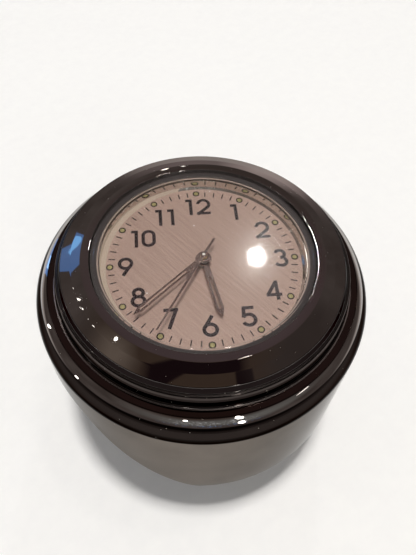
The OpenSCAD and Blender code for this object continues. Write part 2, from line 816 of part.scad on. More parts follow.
housing();
clamp_lower();
clamp_washers();
clamp_screw_left();
clamp_screw_right();
bezel();
crystal();
crystal_gasket();
insert_case();
o_ring();
case_back();
case_back_gasket();
dial_ring();
dial();
lume_dots();
hour_hand();
minute_hand();
second_hand();
movement_ring();
main_plate();
train_bridge();
bridge_screws();
rotor();
fifth_wheel();
second_wheel();
third_wheel();
centre_wheel();
minute_wheel();
hour_wheel();
stator();
coil_core();
coil_winding();
battery_cell();
battery_strap();
circuit_board();
quartz_can();
driver_chip();
stem_tube();
setting_stem();
setting_yoke();
crown();
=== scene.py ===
"""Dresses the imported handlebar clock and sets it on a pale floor, seen as in its photograph."""

import json
from math import acos, asin, atan2, copysign, cos, degrees, hypot, pi, radians, sin, sqrt, tan

import bmesh
import bpy
from mathutils import Matrix, Vector


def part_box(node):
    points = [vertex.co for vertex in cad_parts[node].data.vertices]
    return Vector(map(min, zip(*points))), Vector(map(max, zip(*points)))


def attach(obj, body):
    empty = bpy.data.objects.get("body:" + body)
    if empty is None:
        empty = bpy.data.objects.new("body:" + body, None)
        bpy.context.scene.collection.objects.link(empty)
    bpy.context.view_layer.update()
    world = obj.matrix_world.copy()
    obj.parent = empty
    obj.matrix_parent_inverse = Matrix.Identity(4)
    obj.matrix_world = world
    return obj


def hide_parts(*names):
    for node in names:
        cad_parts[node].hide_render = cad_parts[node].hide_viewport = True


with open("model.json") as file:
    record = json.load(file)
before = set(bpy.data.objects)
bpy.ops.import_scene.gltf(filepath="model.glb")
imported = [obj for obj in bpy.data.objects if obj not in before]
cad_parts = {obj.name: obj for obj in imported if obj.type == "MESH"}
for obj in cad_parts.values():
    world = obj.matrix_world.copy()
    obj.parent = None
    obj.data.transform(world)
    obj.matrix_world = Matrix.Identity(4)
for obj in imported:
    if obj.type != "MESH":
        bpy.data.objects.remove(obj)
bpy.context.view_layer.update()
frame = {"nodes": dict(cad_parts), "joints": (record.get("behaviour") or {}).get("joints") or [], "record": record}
scene = bpy.context.scene

# Sizes are in millimetres here, and meshes are scaled to metres when they are made
MM = 0.001
SMOOTH = radians(32)

GLASS_SEAT = 1.2    # the glass rests on this much of a rim round the dial's opening
NECK_STEP = 1.2     # the case's neck lies this far inside of its side
POCKET_GAP = 0.5    # room round the case in the pocket
FLOOR_GAP = 1.2     # room under the case in the pocket
LEDGE_W = 1.3       # ledge outside of the bezel
LIP_W = 2.1
LIP_R = 3.7
SLOPE_DROP = 0.95   # height of the bezel's slope
FACE_Z = -0.15      # visible face of the dial, in its plate
SCREW_R = 2.0
EAR_H = 4.5         # height of the clamp's ears
WASHER_T = 0.8


# Sizes read from the frame

def low(node):
    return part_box(node)[0] / MM


def high(node):
    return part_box(node)[1] / MM


def half_width(node):
    return (high(node).x - low(node).x) / 2


def named(rows, name):
    return next(row for row in rows if row["name"] == name)


bar_r = named(frame["record"]["mounts"], "bar_clamp")["dims"]["r_mm"]
dial_h = high("dial").z
crown_axis = Vector(named(frame["joints"], "crown_turn")["axis"])
dial_turn = -atan2(crown_axis.y, crown_axis.x)

# Everything in the insert is drawn with the dial's centre at the origin and twelve along +Y
on_dial = Matrix.Translation((0, 0, dial_h)) @ Matrix.Rotation(-dial_turn, 4, "Z")
as_drawn = Matrix.Identity(4)


def reach(node):
    """Length of a hand and its angle on the dial, from the vertex farthest from the dial's axis."""
    points = [on_dial.inverted() @ (v.co / MM) for v in frame["nodes"][node].data.vertices]
    tip = max(points, key=lambda p: hypot(p.x, p.y))
    return hypot(tip.x, tip.y), atan2(tip.y, tip.x) - pi / 2


skirt_foot_r = high("housing").y
skirt_foot_z = low("housing").z
lip_z = high("housing").z - LIP_R
bezel_r = half_width("bezel")
case_r = half_width("insert_case")
glass_r = half_width("crystal")
show_r = glass_r - GLASS_SEAT
neck_r = case_r - NECK_STEP
pocket_r = case_r + POCKET_GAP
pocket_z = low("insert_case").z - FLOOR_GAP
ledge_z = low("bezel").z
ledge_r = bezel_r + LEDGE_W
housing_r = ledge_r + LIP_W
lip_c = housing_r - LIP_R
foot_z = low("clamp_lower").z
screw_y = named(frame["joints"], "left_screw_turn")["pos_m"][1] / MM
screw_spots = ((0, -screw_y), (0, screw_y))


# Meshes

def around(r, angle, z, y=0.0):
    """A point at a radius and an angle round Z, or round a line beside it."""
    return Vector((r * cos(angle), y + r * sin(angle), z))


def clean(bm):
    bmesh.ops.remove_doubles(bm, verts=bm.verts, dist=1e-5)
    bmesh.ops.recalc_face_normals(bm, faces=bm.faces)


def mesh_from(name, bm):
    """A mesh from a bmesh, which it uses up."""
    mesh = bpy.data.meshes.new(name)
    bm.to_mesh(mesh)
    bm.free()
    return mesh


def add_object(name, data):
    made = bpy.data.objects.new(name, data)
    scene.collection.objects.link(made)
    return made


def finish_mesh(name, bm, place, body, paint, nodes):
    """Turn a bmesh drawn in millimetres into a piece that rides on a body and replaces CAD nodes."""
    clean(bm)
    bmesh.ops.transform(bm, matrix=Matrix.Scale(MM, 4) @ place, verts=bm.verts)
    piece = add_object(name, mesh_from(name, bm))
    piece.data.materials.append(paint)
    shade(piece)
    if body:
        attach(piece, body)
    if nodes:
        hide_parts(*nodes)
    return piece


def shade(piece):
    """Smooth shading that keeps flats flat and edges over the smoothing angle sharp."""
    piece.data.polygons.foreach_set("use_smooth", [True] * len(piece.data.polygons))
    piece.data.set_sharp_from_angle(angle=SMOOTH)
    weigh = piece.modifiers.new("flat faces lead", "WEIGHTED_NORMAL")
    weigh.keep_sharp = True


def soften(piece, width, angle=35):
    """Round the edges of a piece that a Boolean made."""
    edge = piece.modifiers.new("edges", "BEVEL")
    edge.width = width * MM
    edge.segments = 3
    edge.limit_method = "ANGLE"
    edge.angle_limit = radians(angle)
    piece.modifiers.move(len(piece.modifiers) - 1, 0)


def rounded(profile, steps=4):
    """Points of a closed outline whose corners, given as (x, y, radius), are rounded."""
    points = []
    count = len(profile)
    for i, (x, y, radius) in enumerate(profile):
        here = Vector((x, y))
        if radius == 0:
            points.append(here)
            continue
        before = Vector(profile[i - 1][:2]) - here
        after = Vector(profile[(i + 1) % count][:2]) - here
        turn = before.angle(after)
        back = min(radius / tan(turn / 2), before.length * 0.49, after.length * 0.49)
        start = here + before.normalized() * back
        end = here + after.normalized() * back
        for k in range(steps + 1):
            t = k / steps
            points.append((1 - t) ** 2 * start + 2 * t * (1 - t) * here + t ** 2 * end)
    return points


def arc(cx, cy, rx, ry, start, end, steps=24):
    """Points along an ellipse's arc, with its angles in degrees."""
    return [
        Vector((cx + rx * cos(a), cy + ry * sin(a)))
        for a in (radians(start + (end - start) * k / steps) for k in range(steps + 1))
    ]


def turned(bm, outline, segments=192, place=as_drawn):
    """Revolve an outline of (radius, height) points round Z. It may start and end on the axis."""
    angles = [2 * pi * i / segments for i in range(segments)]
    rows = []
    for r, z in outline:
        ring = angles if r > 1e-6 else [0]
        rows.append([bm.verts.new(place @ around(r, a, z)) for a in ring])
    for a, b in zip(rows, rows[1:] + rows[:1]):
        join_rows(bm, a, b)


def join_rows(bm, a, b):
    """Faces between two closed rings of vertices, either of which may be one point."""
    count = max(len(a), len(b))
    for i in range(count):
        j = (i + 1) % count
        corners = [a[i % len(a)], a[j % len(a)], b[j % len(b)], b[i % len(b)]]
        face = list(dict.fromkeys(corners))
        if len(face) > 2:
            bm.faces.new(face)


def sweep(bm, rows, closed=False):
    """A solid along rows of vertices, with a face at each end where it isn't closed."""
    for a, b in zip(rows, rows[1:] + (rows[:1] if closed else [])):
        join_rows(bm, a, b)
    if not closed:
        bm.faces.new(rows[0])
        bm.faces.new(rows[-1][::-1])


def prism(bm, outline, z0, z1, place=as_drawn):
    """A closed solid between two heights, over an outline of points."""
    lower = [bm.verts.new(place @ Vector((p[0], p[1], z0))) for p in outline]
    upper = [bm.verts.new(place @ Vector((p[0], p[1], z1))) for p in outline]
    bm.faces.new(lower[::-1])
    bm.faces.new(upper)
    join_rows(bm, lower, upper)


def rectangle(x0, x1, y0, y1):
    return [(x0, y0), (x1, y0), (x1, y1), (x0, y1)]


def temporary(name, build):
    """A throwaway object that a Boolean uses, from a function that fills a bmesh."""
    bm = bmesh.new()
    build(bm)
    clean(bm)
    return add_object(name, mesh_from(name, bm))


def carved(base, add=(), cut=()):
    """A bmesh of a base shape with shapes added and others then cut out, all drawn by functions."""
    body = temporary("work", base)
    tools = [body]
    for operation, shapes in (("UNION", add), ("DIFFERENCE", cut)):
        for build in shapes:
            tool = temporary("tool", build)
            tools.append(tool)
            change = body.modifiers.new("change", "BOOLEAN")
            change.operation = operation
            change.solver = "MANIFOLD"
            change.object = tool
    shape = body.evaluated_get(bpy.context.evaluated_depsgraph_get())
    bm = bmesh.new()
    bm.from_mesh(shape.to_mesh())
    for tool in tools:
        mesh = tool.data
        bpy.data.objects.remove(tool)
        bpy.data.meshes.remove(mesh)
    return bm


def lathed(outline, segments, place=as_drawn):
    """A turned shape, as a function for carved()."""
    return lambda bm: turned(bm, outline, segments, place)


def block(outline, z0, z1, place=as_drawn):
    """A prism, as a function for carved()."""
    return lambda bm: prism(bm, outline, z0, z1, place)


def cylinder(radius, z0, z1, at=(0, 0), segments=64, edge=0.0):
    """A function that draws a cylinder, its ends chamfered by edge, for carved()."""
    outline = rectangle(0, radius, z0, z1)
    if edge:
        outline[1:3] = [(radius - edge, z0), (radius, z0 + edge), (radius, z1 - edge), (radius - edge, z1)]
    return lathed(outline, segments, Matrix.Translation((*at, 0)))


# Node trees

def put_node(tree, kind, inputs=None, **settings):
    """Add a shader node, with its settings, and its inputs as plain values or as sockets to link."""
    made = tree.nodes.new("ShaderNode" + kind)
    for name, value in settings.items():
        setattr(made, name, value)
    for name, value in (inputs or {}).items():
        socket = made.inputs[name]
        if isinstance(value, bpy.types.NodeSocket):
            tree.links.new(value, socket)
        else:
            socket.default_value = value
    return made


def put(tree, kind, inputs=None, output=0, **settings):
    """Add a shader node and give one of its outputs."""
    return put_node(tree, kind, inputs, **settings).outputs[output]


def rgba(color):
    return (*color, 1.0)


def math_node(tree, operation, a, b=0.0):
    return put(tree, "Math", {0: a, 1: b}, operation=operation)


def vector_node(tree, operation, a, b=(0, 0, 0), result="Vector"):
    return put(tree, "VectorMath", {0: a, 1: b}, result, operation=operation)


def mix(tree, factor, a, b, kind="RGBA", blend="MIX"):
    """From one colour or number to another."""
    inputs = {"Factor": factor, "A": a, "B": b}
    return put(tree, "Mix", inputs, "Result", data_type=kind, blend_type=blend)


def ramp(tree, fac, stops):
    """A colour ramp with stops of (position, colour)."""
    made = put_node(tree, "ValToRGB", {"Fac": fac})
    marks = made.color_ramp.elements
    while len(marks) < len(stops):
        marks.new(0.5)
    for mark, (position, color) in zip(marks, stops):
        mark.position = position
        mark.color = rgba(color)
    return made.outputs["Color"]


def mottled(tree, pattern, color, spread):
    """A colour that a pattern makes darker and lighter."""
    dark = [c * (1 - spread) for c in color]
    light = [min(1.0, c * (1 + spread)) for c in color]
    return ramp(tree, pattern, [(0.3, dark), (0.7, light)])


def span(tree, value, from_low, from_high, to_low=0.0, to_high=1.0):
    """A number moved from one range to another and kept within it."""
    sides = {"From Min": from_low, "From Max": from_high, "To Min": to_low, "To Max": to_high}
    return put(tree, "MapRange", {"Value": value, **sides})


def noise(tree, where, scale, detail=3.0, roughness=0.55, stretch=(1, 1, 1), turn=0.0):
    """Noise whose features are about 1/scale metres wide, stretched and turned as given."""
    mapping = {"Vector": where, "Scale": stretch, "Rotation": (0, 0, turn)}
    moved = put(tree, "Mapping", mapping, vector_type="TEXTURE")
    inputs = {"Vector": moved, "Scale": scale, "Detail": detail, "Roughness": roughness}
    return put(tree, "TexNoise", inputs, "Fac")


def bump(tree, height, depth):
    """A bump normal from a height between 0 and 1 that stands for depth metres."""
    return put(tree, "Bump", {"Height": height, "Distance": depth})


def height_and_radius(tree, where):
    """Height along Z, and distance from Z."""
    height = put(tree, "SeparateXYZ", {"Vector": where}, "Z")
    across = vector_node(tree, "MULTIPLY", where, (1, 1, 0))
    return height, vector_node(tree, "LENGTH", across, result="Value")


def specks(tree, where, scale, size, rare_from, rare_to):
    """One on small specks, in those few cells of a pattern whose own number is high enough."""
    cells = put_node(tree, "TexVoronoi", {"Vector": where, "Scale": scale})
    near = span(tree, cells.outputs["Distance"], size, size + 0.04, 1.0, 0.0)
    number = put(tree, "SeparateColor", {"Color": cells.outputs["Color"]}, "Red")
    return math_node(tree, "MULTIPLY", near, span(tree, number, rare_from, rare_to))


# Materials

NEAR_SIDE = radians(-127)      # side of the clock that faces the photograph's viewer
CHROME = (0.60, 0.575, 0.56)
# Painted dark reflection: near-black colour for chrome where it would mirror a dim room
PAINTED_DARK_REFLECTION = (0.024, 0.0185, 0.017)
EDGE_TINT = (0.43, 0.43, 0.43)
DUST = (0.7, 0.66, 0.6)
BRUSHING = radians(-51) - dial_turn


def new_material(name):
    """A material with an empty tree, and its object coordinates."""
    paint = bpy.data.materials.new(name)
    paint.use_nodes = True
    tree = paint.node_tree
    tree.nodes.clear()
    return paint, tree, put(tree, "TexCoord", output="Object")


def surface(paint, shader):
    """End a material in a shader, which may be given as the inputs of a Principled one."""
    if isinstance(shader, dict):
        shader = put(paint.node_tree, "BsdfPrincipled", shader)
    put_node(paint.node_tree, "OutputMaterial", {"Surface": shader})
    return paint


def painted_reflection_side(tree, where):
    """One on the side nearest the camera, nothing on the other side: the mask by which painted reflections take
    their near-side colour.
    """
    ahead = around(1, NEAR_SIDE, 0)
    outward = vector_node(tree, "NORMALIZE", vector_node(tree, "MULTIPLY", where, (1, 1, 0)))
    facing = vector_node(tree, "DOT_PRODUCT", outward, ahead, "Value")
    return span(tree, facing, 0.35, 0.97)


def painted_band(z0, z1, color, rough, soft=0.04, within=99, near=None):
    """A painted reflection tone between two heights and within a radius, which may have its own painted colour on
    the near side.
    """
    return z0, z1, color, rough, soft, within, near


def metal(name, color, rough, spread=0.06, grain=(1, 1, 1), scale=900, dust=0.0, depth=2e-6,
          painted_bands=(), edge=(1, 1, 1)):
    """Metal with smudges in its gloss, fine grain along one direction, specks of dust and painted reflection tones
    by height.

    Edge is the tint of the metal where it is seen at a low angle."""
    paint, tree, where = new_material(name)
    smudge = noise(tree, where, 160, 5.0)
    lines = noise(tree, where, scale, 3.0, 0.6, grain)
    tone = mottled(tree, smudge, color, spread)
    gloss = span(tree, smudge, 0.3, 0.75, rough * 0.6, rough * 1.6)
    # Each band lays a painted reflection colour, and its own gloss, over the metal's own tone
    for z0, z1, painted_color, band_rough, soft, within, near in painted_bands:
        height, radius = height_and_radius(tree, where)
        part = span(tree, height, (z0 - soft) * MM, (z0 + soft) * MM)
        for value, limit in ((height, z1), (radius, within)):
            inside = span(tree, value, (limit - soft) * MM, (limit + soft) * MM, 1.0, 0.0)
            part = math_node(tree, "MULTIPLY", part, inside)
        painted_tone = mottled(tree, smudge, painted_color, 0.12)
        if near:
            painted_tone = mix(tree, painted_reflection_side(tree, where), painted_tone, rgba(near))
        tone = mix(tree, part, tone, painted_tone)
        gloss = mix(tree, part, gloss, band_rough, "FLOAT")
    if dust:
        speck = specks(tree, where, 1500, 0.06, 1 - dust, 1 - dust * 0.8)
        tone = mix(tree, speck, tone, rgba(DUST))
        gloss = math_node(tree, "MAXIMUM", gloss, speck)
    return surface(paint, {
        "Base Color": tone,
        "Metallic": 1.0,
        "Roughness": gloss,
        "Normal": bump(tree, lines, depth),
        "Specular Tint": rgba(edge),
    })


def moulded(name, color, rough, spread=0.1, scale=1500, depth=8e-6):
    """Plastic, rubber, paint or resin with a fine uneven skin."""
    paint, tree, where = new_material(name)
    skin = noise(tree, where, scale, 4.0)
    return surface(paint, {
        "Base Color": mottled(tree, noise(tree, where, 140), color, spread),
        "Roughness": span(tree, skin, 0.3, 0.7, rough * 0.8, rough * 1.2),
        "Normal": bump(tree, skin, depth),
    })


def turned_metal(name, color, rough):
    """Metal with the fine circles that a lathe leaves, round the Z axis."""
    paint, tree, where = new_material(name)
    height, radius = height_and_radius(tree, where)
    row = put(tree, "CombineXYZ", {"X": radius, "Y": height})
    lines = noise(tree, row, 2500, 2.0)
    return surface(paint, {
        "Base Color": mottled(tree, lines, color, 0.14),
        "Metallic": 1.0,
        "Roughness": span(tree, noise(tree, where, 300), 0.3, 0.7, rough * 0.8, rough * 1.3),
        "Normal": bump(tree, lines, 4e-6),
    })


def banded(name, color, gap_color, scale, turn, metallic, rough):
    """Narrow bands side by side, as the turns of a winding or the tracks of a board."""
    paint, tree, where = new_material(name)
    moved = put(tree, "Mapping", {"Vector": where, "Rotation": (0, 0, turn)})
    inputs = {"Vector": moved, "Scale": scale, "Distortion": 0.4}
    wave = put(tree, "TexWave", inputs, "Fac", wave_type="BANDS")
    return surface(paint, {
        "Base Color": ramp(tree, wave, [(0.25, gap_color), (0.6, color)]),
        "Metallic": metallic,
        "Roughness": rough,
        "Normal": bump(tree, wave, 2e-5),
    })


def dial_material():
    """Champagne silver, brushed in straight lines from ten o'clock down to four."""
    paint, tree, where = new_material("dial_plate")
    lines = noise(tree, where, 6500, 3.0, 0.65, (34, 1, 1), BRUSHING)
    broad = noise(tree, where, 3300, 2.0, 0.5, (30, 1, 1), BRUSHING)
    both = span(tree, math_node(tree, "ADD", lines, broad), 0.77, 1.23)
    return surface(paint, {
        "Base Color": ramp(tree, both, [(0.0, (0.278, 0.191, 0.158)), (1.0, (0.354, 0.251, 0.211))]),
        "Roughness": span(tree, lines, 0.3, 0.7, 0.42, 0.56),
        "Normal": bump(tree, lines, 3e-6),
    })


def glass_material():
    """Clear glass with a few specks of dust, which lets the lamps light the dial behind it."""
    paint, tree, where = new_material("clear_glass")
    clear = put(tree, "BsdfPrincipled", {
        "Base Color": (1.0, 1.0, 1.0, 1.0),
        "IOR": 1.5,
        "Transmission Weight": 1.0,
        "Coat Weight": 0.6,
        "Coat Roughness": 0.17,
        "Roughness": 0.05,
    })
    path = put_node(tree, "LightPath")
    light = math_node(tree, "MAXIMUM", path.outputs["Is Shadow Ray"], path.outputs["Is Diffuse Ray"])
    seen = put(tree, "MixShader", {"Fac": light, 1: clear, 2: put(tree, "BsdfTransparent")})
    speck = specks(tree, where, 700, 0.05, 0.945, 0.955)
    dust = put(tree, "BsdfDiffuse", {"Color": (0.8, 0.76, 0.72, 1)})
    return surface(paint, put(tree, "MixShader", {"Fac": speck, 1: seen, 2: dust}))


# Painted reflections: the chrome's colour is made darker on the lip, the step and the slope than on the skirt, and
# the skirt darker than plain chrome, standing in for a dim room and a shaded floor that the metal would mirror
step_z = high("bezel").z - SLOPE_DROP
body_painted_reflections = (
    painted_band(-40, lip_z, (0.27, 0.237, 0.21), 0.09),
    painted_band(lip_z, lip_z + 2.65, PAINTED_DARK_REFLECTION, 0.03),
    painted_band(lip_z, lip_z + 1.1, (0.014, 0.0118, 0.011), 0.03),
    painted_band(lip_z - 0.5, ledge_z + 0.06, (0.17, 0.12, 0.11), 0.05, within=ledge_r + 0.04),
)
# Painted reflections from the foot up: its bright line (a painted highlight, darker on the near side), the wall,
# the corner (darker on the near side), the step, the slope's edge, and a lighter line on a bead on the step
bezel_painted_reflections = (
    painted_band(ledge_z - 1, ledge_z + 0.22, (0.80, 0.72, 0.71), 0.4, 0.03, near=(0.15, 0.13, 0.125)),
    painted_band(ledge_z + 0.2, step_z - 0.8, PAINTED_DARK_REFLECTION, 0.04, 0.03),
    painted_band(step_z - 1.4, step_z - 1.02, (0.13, 0.112, 0.108), 0.12, 0.05, near=(0.06, 0.05, 0.047)),
    painted_band(step_z - 0.8, step_z - 0.04, (0.014, 0.010, 0.010), 0.04, 0.02),
    painted_band(step_z - 0.04, step_z + 0.02, (0.07, 0.062, 0.06), 0.1, 0.02),
    painted_band(step_z - 0.95, step_z - 0.85, (0.13, 0.115, 0.112), 0.36, 0.02),
)
body_chrome = metal("polished_chrome", CHROME, 0.028, grain=(1, 1, 18), scale=1600, dust=0.2,
                    depth=2e-7, painted_bands=body_painted_reflections, edge=EDGE_TINT)
bezel_chrome = metal("bezel_chrome", CHROME, 0.028, scale=1600, dust=0.25, depth=2e-7,
                     painted_bands=bezel_painted_reflections, edge=EDGE_TINT)
bright_chrome = metal("polished_ring", (0.72, 0.71, 0.67), 0.03, scale=1200, depth=1e-7)
hand_metal = metal("bright_hands", (0.55, 0.44, 0.40), 0.12, grain=(1, 6, 1), scale=3000,
                   depth=4e-7)
screw_metal = metal("screw_steel", (0.42, 0.42, 0.43), 0.28, spread=0.12, scale=2500, depth=4e-6)
washer_metal = metal("washer_steel", (0.2, 0.2, 0.21), 0.36, spread=0.15, scale=2500, depth=5e-6)
case_metal = turned_metal("case_steel", (0.58, 0.57, 0.56), 0.26)
cell_metal = metal("cell_steel", (0.66, 0.66, 0.67), 0.22, grain=(8, 1, 1), scale=2600)
can_metal = metal("can_metal", (0.6, 0.59, 0.56), 0.2, scale=1800)
iron_metal = metal("soft_iron", (0.5, 0.51, 0.53), 0.33, grain=(10, 1, 1), scale=2600)
magnet_metal = metal("rotor_magnet", (0.16, 0.16, 0.17), 0.4, spread=0.15, scale=3000)
stem_metal = metal("setting_steel", (0.56, 0.56, 0.57), 0.2, scale=2400)
brass = metal("brass_plate", (0.72, 0.55, 0.28), 0.3, grain=(12, 1, 1), scale=3000, depth=4e-6)
grey_gasket = moulded("grey_gasket", (0.052, 0.045, 0.045), 0.4)
rubber = moulded("black_rubber", (0.02, 0.02, 0.021), 0.5, spread=0.2)
white_plastic = moulded("white_plastic", (0.75, 0.74, 0.7), 0.4, spread=0.04)
resin = moulded("chip_black", (0.025, 0.025, 0.027), 0.45, spread=0.2)
lume_paint = moulded("lume", (0.235, 0.21, 0.082), 0.5, spread=0.14, scale=5000, depth=2e-5)
cream = moulded("cream_edge", (0.29, 0.225, 0.19), 0.4, spread=0.05)
# Painted highlight: the pale crescent at the dial's left edge
crescent_highlight_paint = moulded("painted_highlight_crescent", (0.44, 0.36, 0.29), 0.4, spread=0.05)
ink = moulded("black_print", (0.018, 0.012, 0.014), 0.2, spread=0.25, scale=7000, depth=1.2e-5)
coil_turn = radians(77) - dial_turn
winding = banded("copper_wire", (0.62, 0.26, 0.12), (0.2, 0.06, 0.02), 2600, coil_turn, 1.0, 0.3)
board = banded("board_green", (0.03, 0.2, 0.08), (0.05, 0.3, 0.12), 900, 0.4, 0.0, 0.4)
dial_paint = dial_material()
glass = glass_material()

# CAD nodes that stay as they are
kept = (
    (grey_gasket, ("case_back_gasket",)),
    (white_plastic, ("movement_ring", "fifth_wheel", "second_wheel", "minute_wheel", "hour_wheel")),
    (brass, ("main_plate", "train_bridge", "third_wheel", "centre_wheel", "stem_tube", "setting_yoke")),
    (screw_metal, ("bridge_screws",)),
    (magnet_metal, ("rotor",)),
    (iron_metal, ("stator", "coil_core")),
    (winding, ("coil_winding",)),
    (cell_metal, ("battery_cell", "battery_strap")),
    (board, ("circuit_board",)),
    (can_metal, ("quartz_can",)),
    (resin, ("driver_chip",)),
    (stem_metal, ("setting_stem", "crown")),
)
for paint, names in kept:
    for name in names:
        cad = frame["nodes"][name]
        cad.data.materials.clear()
        cad.data.materials.append(paint)


# Housing: columns round the dial axis, joined underneath by strips along the bar

ARCH_EDGE = 1.3     # rounding of the housing's lower edge
FLANK_TURN = 6      # degrees from 45 at which the arch's round passes into its sloping flank
RIDGE = 0.5         # blunting of the ridge where the flank meets the foot
FLARE_END = 1.5     # height above the foot where the skirt's flare ends
COLUMNS = 240
BOSS_R = 4.5
BOSS_TOP = 6.6
BOSS_BORE = 8.5     # depth of the screw's bore in the boss
PUSH_R = 2.0        # hole for pushing the insert out
flank_line = 2 * bar_r * sqrt(0.5) * cos(radians(FLANK_TURN))


def under_height(side):
    """Height of the underside at a distance from the bar, with its ridge at the foot blunted."""
    arc_end = (flank_line + sqrt(2 * bar_r ** 2 - flank_line ** 2)) / 2
    if side < arc_end:
        return sqrt(bar_r ** 2 - side ** 2)
    flank = flank_line - side
    return (flank + skirt_foot_z + hypot(flank - skirt_foot_z, RIDGE)) / 2


def underside(y):
    """Height of the underside, and the direction that it faces."""
    side = abs(y)
    near = 0.01
    slope = (under_height(side + near) - under_height(max(side - near, 0))) / (2 * near)
    return under_height(side), Vector((0, copysign(slope, y), -1)).normalized()


def wall_radius(z):
    """The skirt flares from under the lip down to its foot."""
    t = (lip_z - z) / (lip_z - skirt_foot_z - FLARE_END)
    return housing_r + (skirt_foot_r - housing_r) * max(0.0, min(1.0, t))


def column(angle):
    """Points of one column of the housing, from its underside up the wall and into the pocket."""
    out = around(1, angle, 0)
    y = skirt_foot_r * out.y
    z, down = underside(y)
    corner = out * wall_radius(z)
    corner.y = y
    corner.z = z
    together = max(out.dot(down), -0.6)
    centre = corner - (out + down) * (ARCH_EDGE / (1 + together))
    points = [centre + down.slerp(out, k / 6) * ARCH_EDGE for k in range(7)]
    start = points[-1].z
    wall = [start + (lip_z - start) * k / 8 for k in range(1, 9)]
    outline = [(wall_radius(z), z) for z in wall]
    lip_end = degrees(acos((ledge_r - lip_c) / LIP_R))
    outline += arc(lip_c, lip_z, LIP_R, LIP_R, 0, lip_end, 26)[1:]
    outline += [
        (ledge_r, ledge_z + 0.08), (ledge_r - 0.08, ledge_z), (pocket_r + 0.15, ledge_z),
        (pocket_r, ledge_z - 0.15), (pocket_r, pocket_z + 0.3), (pocket_r - 0.3, pocket_z),
        (9, pocket_z), (0, pocket_z),
    ]
    return points + [out * r + Vector((0, 0, z)) for r, z in outline]


def housing_block(bm):
    angles = [-pi / 2 + 2 * pi * i / COLUMNS for i in range(COLUMNS)]
    grid = [[bm.verts.new(p) for p in column(a)] for a in angles]
    for i in range(COLUMNS):
        here, after = grid[i], grid[(i + 1) % COLUMNS]
        for k in range(len(here) - 1):
            bm.faces.new((here[k], after[k], after[k + 1], here[k + 1]))
    # Strips along the bar join the feet of the right half's columns to their mirror images
    for i in range(COLUMNS // 2):
        right = grid[i][0], grid[i + 1][0]
        left = grid[(COLUMNS - i - 1) % COLUMNS][0], grid[(COLUMNS - i) % COLUMNS][0]
        bm.faces.new(list(dict.fromkeys(right + left))[::-1])


def housing_shapes():
    bosses = [cylinder(BOSS_R, skirt_foot_z, BOSS_TOP, at, 72, 0.25) for at in screw_spots]
    bore_top = skirt_foot_z + BOSS_BORE
    bores = [cylinder(SCREW_R + 0.05, skirt_foot_z - 1, bore_top, at) for at in screw_spots]
    return carved(housing_block, bosses, [*bores, cylinder(PUSH_R, bar_r - 1, pocket_z + 1)])


finish_mesh("housing_body", housing_shapes(), as_drawn, "housing", body_chrome,
            ["housing"])


# Lower clamp: a half band with two ears and a flat foot

BAND_T = 3.6
SINK_R = 3.8        # recess under each ear for the screw's head
ear_top = high("clamp_lower").z
ear_under = ear_top - EAR_H


def clamp_shapes():
    band_r = bar_r + BAND_T
    ear_r = high("clamp_lower").y
    half_w = high("clamp_lower").x
    along = Matrix.Rotation(pi / 2, 4, "Y") @ Matrix.Rotation(pi / 2, 4, "Z")
    half = degrees(asin(-ear_top / band_r))
    flat_half = degrees(acos(-foot_z / band_r))
    half_band = arc(0, 0, band_r, band_r, 180 + half, 270 - flat_half, 40)
    half_band += arc(0, 0, band_r, band_r, 270 + flat_half, 360 - half, 40)
    corner = degrees(asin(half_w / ear_r))
    ears = arc(0, 0, ear_r, ear_r, 90 - corner, 90 + corner, 30)
    ears += arc(0, 0, ear_r, ear_r, 270 - corner, 270 + corner, 30)
    bar = arc(0, 0, bar_r, bar_r, 0, 360, 128)[:-1]
    cuts = [block(bar, -half_w - 1, half_w + 1, along)]
    for at in screw_spots:
        cuts.append(cylinder(SCREW_R + 0.2, ear_under - 1, ear_top + 1, at))
        cuts.append(cylinder(SINK_R, foot_z - 2, ear_under, at))
    return carved(block(half_band, -half_w, half_w, along), [block(ears, ear_under, ear_top)], cuts)


clamp_band = finish_mesh("clamp_band", clamp_shapes(), as_drawn, "clamp", body_chrome,
                         ["clamp_lower"])
soften(clamp_band, 0.35)


# Screws and spring washers

HEAD_R = 3.5
KNURLS = 36
KNURL_DEPTH = 0.09
SOCKET_HALF = 1.5   # half of the key's width across flats
SOCKET_DEPTH = 2.2
DISH_R = 1.9        # shallow dish round the socket
PLAIN = 6.0         # plain length of the shank under the thread
PITCH = 0.7
THREAD_DEPTH = 0.38


def thread(bm, y, r, z0, turns, columns=28):
    """A screw thread as one helical skin, closed at both ends."""
    rows = 3 * turns
    shape = (r - THREAD_DEPTH, r, r - 0.15 * THREAD_DEPTH)
    grid = []
    for i in range(columns):
        a = 2 * pi * i / columns
        heights = [z0 + PITCH * (m / 3 + i / columns) for m in range(rows + 4)]
        grid.append([bm.verts.new(around(shape[m % 3], a, z, y)) for m, z in enumerate(heights)])
    for i in range(columns):
        # The last line joins the first one a turn further up
        after, up = (grid[i + 1], 0) if i < columns - 1 else (grid[0], 3)
        for m in range(rows):
            bm.faces.new((grid[i][m], after[m + up], after[m + up + 1], grid[i][m + 1]))
    foot = bm.verts.new((0, y, z0))
    tip = bm.verts.new((0, y, z0 + PITCH * (rows / 3 + 1)))
    first = [line[0] for line in grid] + [grid[0][m] for m in (3, 2, 1)]
    last = [line[rows] for line in grid] + [grid[0][rows + m] for m in (3, 2, 1)]
    for ring, end in ((first, foot), (last, tip)):
        for a, b in zip(ring, ring[1:] + ring[:1]):
            bm.faces.new((a, b, end))


